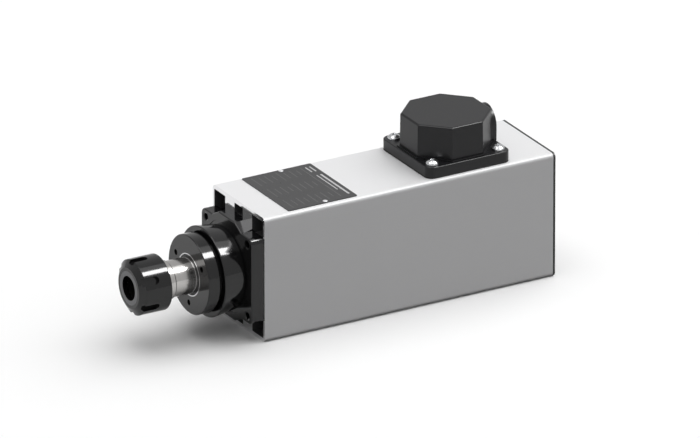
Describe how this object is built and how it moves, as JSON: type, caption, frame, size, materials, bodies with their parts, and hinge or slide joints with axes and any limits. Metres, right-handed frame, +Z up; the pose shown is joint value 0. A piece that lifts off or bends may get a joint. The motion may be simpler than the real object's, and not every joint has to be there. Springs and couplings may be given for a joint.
{
  "type": "cnc spindle motor",
  "caption": "Air-cooled high-speed spindle motor with a square aluminium case, round bearing nose, collet nut, rear fan and a terminal box on top.",
  "frame": {"origin": "on the spindle axis, in the front face of the front shield, at the centre of its four bolt holes", "axes": "+X along the spindle axis towards the tool, +Y to the left seen from behind, +Z up to the terminal box"},
  "size_m": [0.2788, 0.0624, 0.1092],
  "materials": {
    "case_aluminium": "clear anodised extrusion, satin",
    "black_casting": "black enamel on cast aluminium, semi-gloss",
    "cap_black": "black oxide on turned steel, satin",
    "shaft_steel": "ground tool steel",
    "nut_black": "black oxide on turned steel, polished",
    "zinc_steel": "bright zinc plate",
    "bearing_steel": "ground bearing steel",
    "ball_steel": "polished balls",
    "cage_phenolic": "cotton-filled phenolic",
    "spring_steel": "blued spring steel",
    "lamination_steel": "varnished laminations",
    "copper_winding": "enamelled copper wire",
    "rotor_aluminium": "cast",
    "shield_aluminium": "cast and machined",
    "rod_steel": "zinc plated",
    "fan_nylon": "glass-filled nylon, moulded",
    "cover_black": "black powder coat on sheet",
    "screw_black": "black oxide",
    "gasket_rubber": "moulded sheet",
    "box_plastic": "fine-grained moulding",
    "block_plastic": "moulded",
    "stud_brass": "turned",
    "lead_insulation": "silicone sleeve",
    "plate_metal": "dark anodised sheet",
    "rivet_metal": "bright drive rivet"
  },
  "bodies": {
    "housing": {"case_extrusion": "case_aluminium", "front_shield": "black_casting", "bearing_cap": "cap_black", "front_bearing_outer_rings": "bearing_steel", "outer_spacer": "bearing_steel", "rear_bearing_outer_ring": "bearing_steel", "preload_washer": "spring_steel", "stator_core": "lamination_steel", "stator_winding": "copper_winding", "rear_shield": "shield_aluminium", "tie_rods": "rod_steel", "rear_standoffs": "rod_steel", "rear_cover": "cover_black", "rear_cover_screws": "screw_black", "terminal_box_gasket": "gasket_rubber", "terminal_box_cover": "box_plastic", "terminal_box_screws": "zinc_steel", "terminal_block": "block_plastic", "terminal_studs": "stud_brass", "motor_leads": "lead_insulation", "nameplate": "plate_metal", "nameplate_rivets": "rivet_metal"},
    "spindle": {"spindle_shaft": "shaft_steel", "labyrinth_ring": "shaft_steel", "front_bearing_inner_rings": "bearing_steel", "inner_spacer": "bearing_steel", "rear_bearing_inner_ring": "bearing_steel", "rear_bearing_clip": "spring_steel", "rotor_core": "lamination_steel", "rotor_end_rings": "rotor_aluminium", "cooling_fan": "fan_nylon", "fan_key": "rod_steel", "fan_clip": "spring_steel"},
    "clamp_ring": {"nut_clamp_ring": "bearing_steel"},
    "collet_nut": {"collet_nut": "nut_black"},
    "front_ball_set": {"front_bearing_balls": "ball_steel", "front_bearing_cages": "cage_phenolic"},
    "rear_ball_set": {"rear_bearing_balls": "ball_steel", "rear_bearing_cage": "cage_phenolic"}
  },
  "joints": [
    {"name": "spindle_spin", "type": "hinge", "parent": "housing", "child": "spindle", "pos_m": [-0.0015, 0, 0], "axis": [1, 0, 0], "continuous": true},
    {"name": "front_ball_orbit", "type": "hinge", "parent": "housing", "child": "front_ball_set", "pos_m": [-0.0015, 0, 0], "axis": [1, 0, 0], "continuous": true},
    {"name": "rear_ball_orbit", "type": "hinge", "parent": "housing", "child": "rear_ball_set", "pos_m": [-0.169, 0, 0], "axis": [1, 0, 0], "continuous": true},
    {"name": "clamp_ring_slide", "type": "slide", "parent": "spindle", "child": "clamp_ring", "axis": [1, 0, 0], "range_m": [0, 0.012]},
    {"name": "nut_turn", "type": "hinge", "parent": "clamp_ring", "child": "collet_nut", "pos_m": [0.0567, 0, 0], "axis": [1, 0, 0], "range_deg": [0, 2880]}
  ],
  "couplings": [
    {"joint": "front_ball_orbit", "follows": "spindle_spin", "ratio": 0.41389},
    {"joint": "rear_ball_orbit", "follows": "spindle_spin", "ratio": 0.38772},
    {"joint": "clamp_ring_slide", "follows": "nut_turn", "m_per_rad": 0.00023873}
  ]
}
